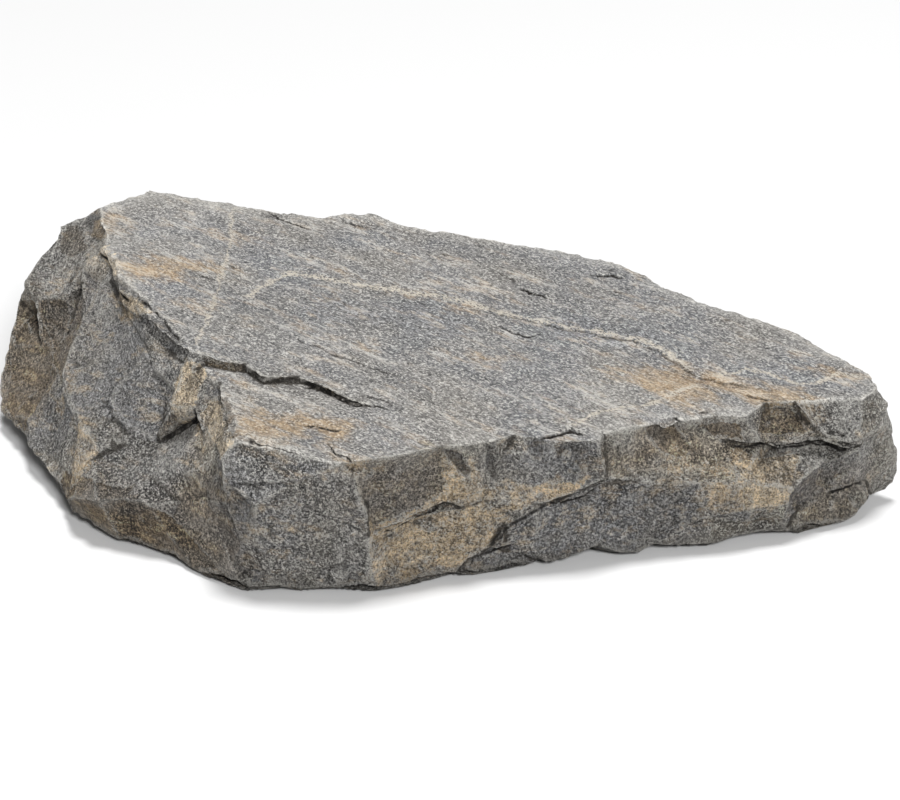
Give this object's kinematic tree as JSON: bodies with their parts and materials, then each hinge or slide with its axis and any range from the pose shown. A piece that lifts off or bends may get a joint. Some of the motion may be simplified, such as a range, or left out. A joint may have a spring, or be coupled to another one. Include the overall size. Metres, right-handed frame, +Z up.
{
  "type": "stone sample",
  "caption": "Loose slab of grey foliated rock with a cleaved sloping top, a shallow step, stepped broken sides and a flat underside.",
  "frame": {"origin": "middle of the underside: the centre of the box around the stone, at its lowest level", "axes": "+X along the stone's length towards its thin end, +Y away from the front face, +Z up"},
  "size_m": [0.328, 0.1984, 0.0726],
  "materials": {
    "rock": "rough natural break, grey with pale grains, ochre-brown weathering on the sides"
  },
  "bodies": {
    "root": {"stone": "rock"}
  },
  "joints": []
}
